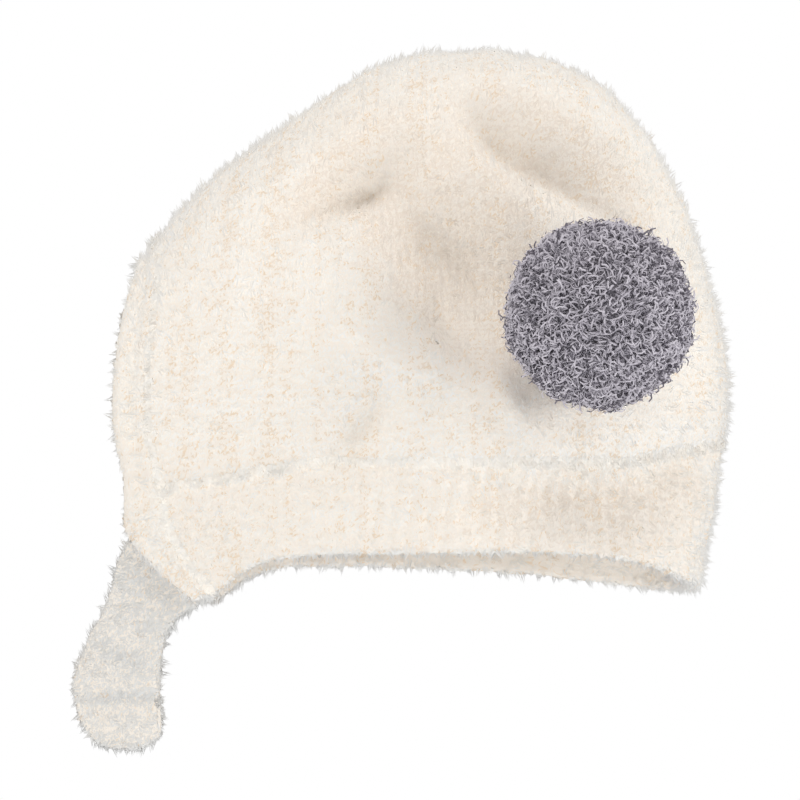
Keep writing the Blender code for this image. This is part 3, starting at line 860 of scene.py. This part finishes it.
# %% Curls on the ball
CURL_STEPS = 3
SLANT = 0.7  # the cosine of 45 degrees


def curl_shape(name, radius, arc, width):
    """A ribbon bent round an arc that starts along +Z. Its map runs along it from root to tip."""
    shape = bmesh.new()
    half = width / 2 * SLANT
    ends = [shape.verts.new((radius + half * side, half * side, 0)) for side in (-1, 1)]
    edge = shape.edges.new(ends)
    bmesh.ops.spin(
        shape, geom=[*ends, edge], cent=(0, 0, 0), axis=(0, -1, 0), angle=arc, steps=CURL_STEPS)
    along = shape.loops.layers.uv.new(BAKE_MAP)
    for face in shape.faces:
        for corner in face.loops:
            x, y, z = corner.vert.co
            corner[along].uv = (1 if y > 0 else -1, (math.atan2(z, x) % math.tau) / arc)
    bmesh.ops.translate(shape, verts=shape.verts, vec=(-radius, 0, 0))
    return mesh_from(name, shape)


# %% [markdown]
# ## The ball
#
# The ends of the yarn cling together in locks. So each curl belongs to the lock whose way out is nearest
# its own, leans towards it, and shares its tone and its height. Curls that are rooted deeper are painted
# darker, as shade among the curls.

# %% Cover the ball
LOCKS, CURLS_OF_A_SHAPE = 170, 7000
BALL_SHIFT, BALL_GROWTH = 1.2 * MM, 0.5 * MM
LOCK_LIFTS, ROOT_DEPTHS, CURL_LENGTHS = (-0.7, 0.5), (1.0, 4.0), (1.9, 3.4)  # in mm
LOCK_PULL, WILDNESS = 1.2, 0.6
LOCK_TONES, CURL_TONES = 0.07, 0.10
# Painted shade among the curls:
DEPTH_SHADE_TONE = 0.08  # how much darker a curl is for each mm that it is rooted deeper
CURL_SHAPES = (
    # radius, arc in radians and width, before a curl is sized
    (0.40, 3.3, 0.17),
    (0.55, 2.5, 0.15),
    (0.34, 4.0, 0.18),
)
ball_low, ball_high = (np.array(corner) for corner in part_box("pompom"))
ball_middle = (ball_low + ball_high) / 2 - (BALL_SHIFT, 0, 0)
ball_radius = (ball_high - ball_low).mean() / 2
lock_ways = unit(rng.normal(0, 1, (LOCKS, 3)))
lock_lift = rng.uniform(*LOCK_LIFTS, LOCKS) * MM
lock_tone = rng.normal(0, LOCK_TONES, LOCKS)
for k, (radius, arc, width) in enumerate(CURL_SHAPES):
    curl = curl_shape(f"curl_{k}", radius, arc, width)
    outwards = unit(rng.normal(0, 1, (CURLS_OF_A_SHAPE, 3)))
    lock = (outwards @ lock_ways.T).argmax(1)
    deep = rng.uniform(*ROOT_DEPTHS, CURLS_OF_A_SHAPE) * MM
    places = ball_middle + outwards * (ball_radius + BALL_GROWTH + lock_lift[lock] - deep)[:, None]
    ways = outwards + (lock_ways[lock] - outwards) * LOCK_PULL + rng.normal(0, WILDNESS, places.shape)
    lengths = rng.uniform(*CURL_LENGTHS, CURLS_OF_A_SHAPE) * MM
    tones = rng.normal(0.5, CURL_TONES, CURLS_OF_A_SHAPE) + lock_tone[lock]
    # Painted shade: curls rooted deeper are darker.
    tones -= (deep - 2 * MM) / MM * DEPTH_SHADE_TONE
    strew(f"pompom_curls_{k}", curl, places, ways, lengths, tones, grey_yarn,
          outwards, softness=0.6)

# %% [markdown]
# ## Stitches round the closure patch
#
# A patch like this is sewn on with a row of plain stitches just inside its border. So a rectangle is
# walked round, and each stitch lies on the patch along the way it goes. A stitch is a ball drawn out.

# %% Sew the patch on
BORDER, STITCH_PITCH, STITCH_LENGTH = 1.3 * MM, 1.7 * MM, 1.4 * MM
STITCH_WIDTH = 0.36  # of its length
STITCH_TONE = 0.3


def stitch_shape():
    shape = bmesh.new()
    slim = Matrix.Diagonal((STITCH_WIDTH, STITCH_WIDTH, 1, 1))
    bmesh.ops.create_uvsphere(shape, u_segments=6, v_segments=5, radius=0.5, matrix=slim)
    layer = shape.loops.layers.uv.new(BAKE_MAP)
    for face in shape.faces:
        for corner in face.loops:
            corner[layer].uv = (0, corner.vert.co.z + 0.5)
    return mesh_from("stitch", shape)


patch_points, patch_normals = points_of(patch.data), normals_of(patch.data)
face_side = patch_normals[:, 1] > 0.6  # the side away from the strap
patch_points, patch_normals = patch_points[face_side], patch_normals[face_side]
low_x, low_z = patch_points[:, ::2].min(0) + BORDER
high_x, high_z = patch_points[:, ::2].max(0) - BORDER
corners = np.array(((low_x, low_z), (high_x, low_z), (high_x, high_z), (low_x, high_z), (low_x, low_z)))
seam_walk = []
for start, end in zip(corners[:-1], corners[1:]):
    stitches = int(np.hypot(*(end - start)) / STITCH_PITCH)
    seam_walk += [start + (end - start) * (k + 0.5) / stitches for k in range(stitches)]
seam_walk = np.array(seam_walk)
nearest = np.hypot(*(patch_points[None, :, ::2] - seam_walk[:, None]).transpose(2, 0, 1)).argmin(1)
sewn = np.stack((seam_walk[:, 0], patch_points[nearest, 1], seam_walk[:, 1]), 1)
along_seam = np.roll(sewn, -1, 0) - np.roll(sewn, 1, 0)
lengths, tones = np.full(len(sewn), STITCH_LENGTH), np.full(len(sewn), STITCH_TONE)
strew("patch_stitches", stitch_shape(), sewn, along_seam, lengths, tones, shaded_strap_pile,
      patch_normals[nearest])

# %% [markdown]
# ## A map in stitches
#
# Between the tufts shows the knit itself, and its columns have to follow the cloth round the head. So
# each skin gets a map made of its two lengths, round the cloth and up it, measured in stitches.

# %% Measure the skins in stitches
STITCH, HOOK_PITCH = 1.6 * MM, 0.7 * MM


def measure_in_stitches(skin, stitch):
    mesh = skin.data
    corners = np.empty(len(mesh.loops), np.int32)
    mesh.loops.foreach_get("vertex_index", corners)
    lengths = np.stack(cloth_lengths(points_of(mesh)[corners]), 1)
    layer = mesh.uv_layers.new(name="stitches")
    layer.data.foreach_set("uv", lengths.astype(np.float32).ravel() / stitch)


for skin in (crown, neck_band, face_band, strap, pompom_core):
    measure_in_stitches(skin, STITCH)
measure_in_stitches(patch, HOOK_PITCH)
print("stitches round the hat:", round((way_round[-1] - way_round[0]) / STITCH))

# %% [markdown]
# ## The knit under the pile
#
# A knit stitch is two slanting legs, and the tan core thread shows where the yarn crosses, in some
# stitches of some columns only. Nodes work this out from the map in stitches. The legs are a bump, and the
# cloth is painted darker and warmer between them, as shade in the furrows, and the thread is a soft spot at
# each crossing. A painted picture would do as well from far off, but it would blur close to.

# %% The legs and the thread of a stitch
LEG_SLANT = 0.9  # rows that a leg would climb in a stitch's whole width
SPOT_ACROSS, SPOT_UP = 3.6, 2.0  # one over a spot's half width and half height, in stitches
SPOT_EDGE, SPOT_STRENGTH = 1.15, 0.75


def sums_in(material):
    """A short way to write sums with a material's Math nodes."""
    def maths(operation, *values):
        node = add_node(material, "ShaderNodeMath", dict(enumerate(values)), operation=operation)
        return node.outputs[0]
    return maths


def stitch_height(material, column, row):
    """How high the yarn stands, from 0 to 1."""
    maths = sums_in(material)
    off_middle = maths("ABSOLUTE", maths("SUBTRACT", maths("FRACT", column), 0.5))
    leg = maths("SINE", maths("MULTIPLY", off_middle, math.tau))
    slant = maths("ADD", row, maths("MULTIPLY", off_middle, LEG_SLANT))
    wave = maths("COSINE", maths("MULTIPLY", slant, math.tau))
    loop = maths("ADD", maths("MULTIPLY", wave, 0.5), 0.5)
    return maths("MULTIPLY", leg, maths("ADD", maths("MULTIPLY", loop, 0.6), 0.4))


def thread_spot(material, column, row, thread_share):
    """How much of the core thread shows, from 0 to 1."""
    maths = sums_in(material)
    crossing = maths("ADD", column, 0.5)
    number = maths("FLOOR", crossing)
    cell = add_node(material, "ShaderNodeCombineXYZ", {"X": number, "Y": maths("FLOOR", row)})
    noise = "ShaderNodeTexWhiteNoise"
    chance = add_node(material, noise, {"Vector": cell.outputs[0]}, noise_dimensions="2D")
    column_chance = add_node(material, noise, {"W": number}, noise_dimensions="1D")
    limit = maths("MULTIPLY", column_chance.outputs["Value"], 2 * thread_share)
    shown = maths("LESS_THAN", chance.outputs["Value"], limit)
    off_crossing = maths("ABSOLUTE", maths("SUBTRACT", maths("FRACT", crossing), 0.5))
    off_row = maths("ABSOLUTE", maths("SUBTRACT", maths("FRACT", row), 0.5))
    across = maths("POWER", maths("MULTIPLY", off_crossing, SPOT_ACROSS), 2)
    up = maths("POWER", maths("MULTIPLY", off_row, SPOT_UP), 2)
    distance = maths("SQRT", maths("ADD", across, up))
    soft_spot = maths("MINIMUM", maths("MAXIMUM", maths("SUBTRACT", SPOT_EDGE, distance), 0), 1)
    return maths("MULTIPLY", maths("MULTIPLY", shown, soft_spot), SPOT_STRENGTH)


# %% [markdown]
# ## Cloth made of stitches
#
# Knitting by hand is never quite even, so a slow noise lets the columns and rows drift by a stitch or
# two. Another one leaves the cream warmer in patches. The hook tape of the patch is the same pattern on a
# finer map, without any thread, and the ball's core is plain and dark: painted shade, to be seen only as
# the depth between the curls.

# %% Knit materials
DRIFT_SCALE, DRIFT = 0.45, 3.5
PATCH_SCALE, SHADE_BETWEEN_LEGS, IN_PATCHES = 70, 0.6, 0.35
LEG_BUMP, LEG_HEIGHT = 0.2, 0.5 * MM


def knit_material(name, light, dark, thread, thread_share):
    """A knit from light to dark, painted darker between the legs as shade, with spots of thread."""
    material, sockets = new_cloth(name)
    maths = sums_in(material)
    stitches = add_node(material, "ShaderNodeUVMap", uv_map="stitches").outputs["UV"]
    parts = add_node(material, "ShaderNodeSeparateXYZ", {0: stitches})
    slow = {"Vector": stitches, "Scale": DRIFT_SCALE}
    wander = add_node(material, "ShaderNodeTexNoise", slow, noise_dimensions="2D")
    drift = maths("MULTIPLY", maths("SUBTRACT", wander.outputs[0], 0.5), DRIFT)
    column = maths("ADD", parts.outputs["X"], drift)
    row = maths("ADD", parts.outputs["Y"], drift)
    height = stitch_height(material, column, row)
    spot = thread_spot(material, column, row, thread_share)

    place = add_node(material, "ShaderNodeTexCoord").outputs["Object"]
    broad = {"Vector": place, "Scale": PATCH_SCALE, "Detail": 3}
    patches = add_node(material, "ShaderNodeTexNoise", broad)
    # Painted shade: the cloth is darker between the legs.
    shade_between = maths("MULTIPLY", maths("SUBTRACT", 1, height), SHADE_BETWEEN_LEGS)
    cloth = mixed(material, shade_between, light, dark)
    cloth = mixed(material, maths("MULTIPLY", patches.outputs[0], IN_PATCHES), cloth, dark)
    relief = {"Height": height, "Strength": LEG_BUMP, "Distance": LEG_HEIGHT}
    bump = add_node(material, "ShaderNodeBump", relief)
    material.node_tree.links.new(mixed(material, spot, cloth, thread), sockets["Base Color"])
    material.node_tree.links.new(bump.outputs[0], sockets["Normal"])
    return material


# The dark colours, WARM_CREAM and BETWEEN_HOOKS, are painted shade between the legs and a random warmth in
# patches.
CREAM, WARM_CREAM, CORE_THREAD = (0.965, 0.93, 0.875), (0.94, 0.85, 0.745), (0.86, 0.68, 0.48)
HOOKS, BETWEEN_HOOKS = (0.90, 0.90, 0.885), (0.72, 0.715, 0.70)
# The ball core's greys are painted shade between the curls.
CORE_SHADE_GREY, DEEP_SHADE_GREY = (0.40, 0.385, 0.43), (0.30, 0.29, 0.33)
cream_knit = knit_material("cream knit", CREAM, WARM_CREAM, CORE_THREAD, 0.16)
rib_knit = knit_material("cream rib knit", CREAM, WARM_CREAM, CORE_THREAD, 0.26)
hook_tape = knit_material("hook tape", HOOKS, BETWEEN_HOOKS, HOOKS, 0)
core_shade_material = pile_material("ball core", (CORE_SHADE_GREY, CORE_SHADE_GREY), DEEP_SHADE_GREY)
for skin, material in (
    (crown, cream_knit),
    (neck_band, rib_knit),
    (face_band, rib_knit),
    (strap, cream_knit),
    (patch, hook_tape),
    (pompom_core, core_shade_material),
):
    skin.data.materials.clear()
    skin.data.materials.append(material)
    print(skin.name, "is made of", material.name)

# %% [markdown]
# ## A white studio
#
# A shop shows such a hat on plain white. A white ball round everything makes that white, but only the
# camera sees it, because so much light from all sides would wash the folds out. A dim sky gives the soft
# light in the hollows instead, and a white floor throws some light up under the hem.

# %% Build the studio
SKY_COLOUR, SKY_STRENGTH = (1.0, 0.98, 0.955), 0.41
BACKDROP_RADIUS, FLOOR_SIZE, FLOOR_LEVEL = 14, 6, -0.9
FLOOR_WHITE, FLOOR_ROUGHNESS = (0.9, 0.9, 0.9), 0.9

world = bpy.data.worlds.new("studio")
world.use_nodes = True
world.node_tree.nodes["Background"].inputs["Color"].default_value = (*SKY_COLOUR, 1)
world.node_tree.nodes["Background"].inputs["Strength"].default_value = SKY_STRENGTH
bpy.context.scene.world = world
bpy.context.scene.view_settings.view_transform = "Standard"

shape = bmesh.new()
bmesh.ops.create_icosphere(shape, subdivisions=4, radius=BACKDROP_RADIUS)
backdrop = add_piece("backdrop", shape)
glow = bpy.data.materials.new("backdrop white")
glow.use_nodes = True
glow.node_tree.nodes.clear()
emission = add_node(glow, "ShaderNodeEmission")
add_node(glow, "ShaderNodeOutputMaterial", {"Surface": emission.outputs[0]})
backdrop.data.materials.append(glow)
for kind in ("diffuse", "glossy", "transmission", "volume_scatter", "shadow"):
    setattr(backdrop, "visible_" + kind, False)

shape = bmesh.new()
bmesh.ops.create_grid(shape, x_segments=1, y_segments=1, size=FLOOR_SIZE)
bmesh.ops.translate(shape, verts=shape.verts, vec=(0, 0, FLOOR_LEVEL))
floor = add_piece("floor", shape)
paint = bpy.data.materials.new("floor white")
paint.use_nodes = True
shader = paint.node_tree.nodes["Principled BSDF"]
shader.inputs["Base Color"].default_value = (*FLOOR_WHITE, 1)
shader.inputs["Roughness"].default_value = FLOOR_ROUGHNESS
floor.data.materials.append(paint)
print("stage:", backdrop.name, "and", floor.name)

# %% [markdown]
# ## Lamps
#
# Two big soft lamps hang above, one of them in front, and shape the folds with gentle shadows. One at
# each side lights the edges, and a small cool one low in front opens up the band. All point at the middle
# of the view.

# %% Hang the lamps
LAMPS = (
    # name, place in metres, size, power in watts, colour
    ("key", (-0.2, -2.9, 3.7), 2.5, 35, (1.0, 0.985, 0.97)),
    ("top", (-0.2, -0.6, 4.2), 2.5, 48, (1.0, 0.985, 0.98)),
    ("left side", (-3.4, -0.9, 0.5), 2.0, 31, (1.0, 1.0, 1.0)),
    ("right side", (3.4, -0.9, 0.5), 2.0, 38, (1.0, 1.0, 1.0)),
    ("low front", (0.2, -1.1, -0.85), 0.8, 6.3, (0.97, 0.985, 1.0)),
)
for name, place, size, power, colour in LAMPS:
    lamp = bpy.data.objects.new(name, bpy.data.lights.new(name, "AREA"))
    lamp.data.size = size
    lamp.data.energy = power
    lamp.data.color = colour
    lamp.location = place
    lamp.rotation_euler = (VIEW_CENTRE - Vector(place)).to_track_quat("-Z", "Y").to_euler()
    bpy.context.scene.collection.objects.link(lamp)
print(len(LAMPS), "lamps")

# %% [markdown]
# ## Sheets of cloth
#
# The strap is a strip of plush knit that hangs from its upper end. The bands and the crown are knit too,
# and hold their shape as on a head. Each is listed with the size it was knitted to, lying flat, and its
# skin's flat area is printed beside that: a cloth of two faces has half the area of its closed skin.

def flat_area(skin):
    skin.data.calc_loop_triangles()
    return sum(triangle.area for triangle in skin.data.loop_triangles) / 2


def on_cloth(skin, starts):
    """The other pieces whose names have one of these starts."""
    return [piece for piece in bpy.context.scene.objects
            if piece.name.startswith(starts) and piece is not skin and piece.name not in frame["nodes"]]


for skin, starts, flat, held in (
    # skin, how its pieces' names start, flat size in metres, how it is held
    (crown, "crown_", (0.26, 0.25), "stretched"),
    (neck_band, "neck_band_", (0.31, 0.043), "stretched"),
    (face_band, "face_band_", (0.29, 0.014), "stretched"),
    (strap, ("strap_", "patch_"), (0.03, 0.062), "hung"),
):
    area = flat_area(skin)
    others = on_cloth(skin, starts)
    print(skin.name, "flat area in square mm:", round(area / MM**2), "of", round(flat[0] * flat[1] / MM**2))

# %% [markdown]
# ## The size of it
#
# Pile is many small faces, so the triangles are counted, piece by piece.

# %% Count the triangles
faces_in_all = 0
for piece in bpy.context.scene.objects:
    if piece.type == "MESH" and piece.name not in frame["nodes"] and piece not in (backdrop, floor):
        piece.data.calc_loop_triangles()
        faces_in_all += len(piece.data.loop_triangles)
        print(piece.name, len(piece.data.loop_triangles), "triangles")
print("triangles in all:", faces_in_all)
